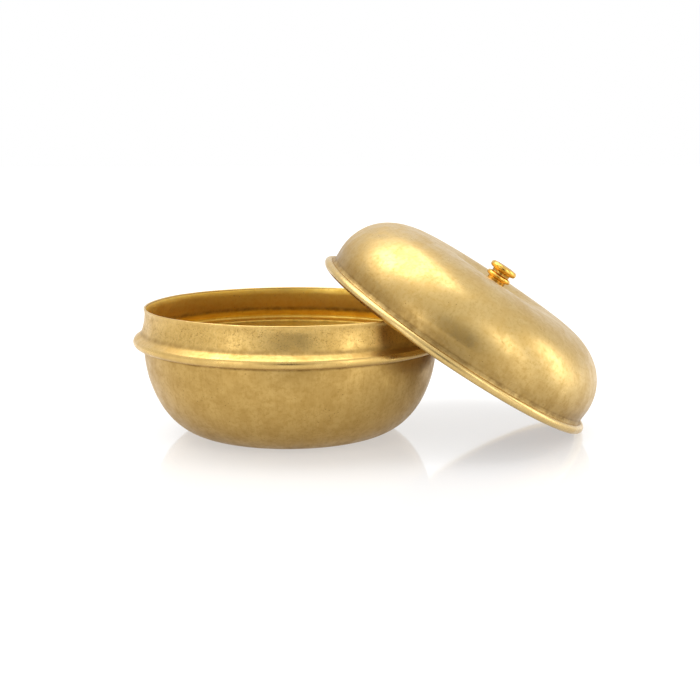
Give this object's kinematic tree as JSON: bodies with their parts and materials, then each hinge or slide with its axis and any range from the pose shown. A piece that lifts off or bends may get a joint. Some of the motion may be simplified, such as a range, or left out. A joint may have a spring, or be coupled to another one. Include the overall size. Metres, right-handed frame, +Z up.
{
  "type": "spice box",
  "caption": "Round-bottomed brass spice box with a beaded bowl, a dished dome lid with a turned knob leaning on its rim, and seven loose cups inside.",
  "frame": {"origin": "centre of the bowl's flat base, on the surface it stands on", "axes": "+Z up along the bowl's axis; +X from the bowl towards the leaning lid"},
  "size_m": [0.3189, 0.215, 0.1421],
  "materials": {
    "bowl_brass": "satin hand-finished brass with light patina, darker and warmer inside",
    "lid_brass": "satin hand-finished brass with light patina, tarnish in the groove above the rolled edge",
    "rim_wire_brass": "drawn wire, hidden in the rolled edge",
    "knob_brass": "polished turned brass",
    "washer_brass": "plain turned washer",
    "cup_brass": "satin spun brass, brighter lip"
  },
  "bodies": {
    "base": {"bowl": "bowl_brass"},
    "lid": {"lid_shell": "lid_brass", "lid_rim_wire": "rim_wire_brass", "knob": "knob_brass", "knob_washer": "washer_brass"},
    "cup_centre": {"katori_centre": "cup_brass"},
    "cup_right_rear": {"katori_right_rear": "cup_brass"},
    "cup_rear": {"katori_rear": "cup_brass"},
    "cup_left_rear": {"katori_left_rear": "cup_brass"},
    "cup_left_front": {"katori_left_front": "cup_brass"},
    "cup_front": {"katori_front": "cup_brass"},
    "cup_right_front": {"katori_right_front": "cup_brass"}
  },
  "joints": [
    {"name": "lid_lift", "type": "slide", "parent": "base", "child": "lid", "axis": [0, 0, 1], "range_m": [0, 0.13]},
    {"name": "cup_centre_lift", "type": "slide", "parent": "base", "child": "cup_centre", "axis": [0, 0, 1], "range_m": [0, 0.045]},
    {"name": "cup_right_rear_lift", "type": "slide", "parent": "base", "child": "cup_right_rear", "axis": [0, 0, 1], "range_m": [0, 0.045]},
    {"name": "cup_rear_lift", "type": "slide", "parent": "base", "child": "cup_rear", "axis": [0, 0, 1], "range_m": [0, 0.09]},
    {"name": "cup_left_rear_lift", "type": "slide", "parent": "base", "child": "cup_left_rear", "axis": [0, 0, 1], "range_m": [0, 0.09]},
    {"name": "cup_left_front_lift", "type": "slide", "parent": "base", "child": "cup_left_front", "axis": [0, 0, 1], "range_m": [0, 0.09]},
    {"name": "cup_front_lift", "type": "slide", "parent": "base", "child": "cup_front", "axis": [0, 0, 1], "range_m": [0, 0.09]},
    {"name": "cup_right_front_lift", "type": "slide", "parent": "base", "child": "cup_right_front", "axis": [0, 0, 1], "range_m": [0, 0.045]}
  ]
}
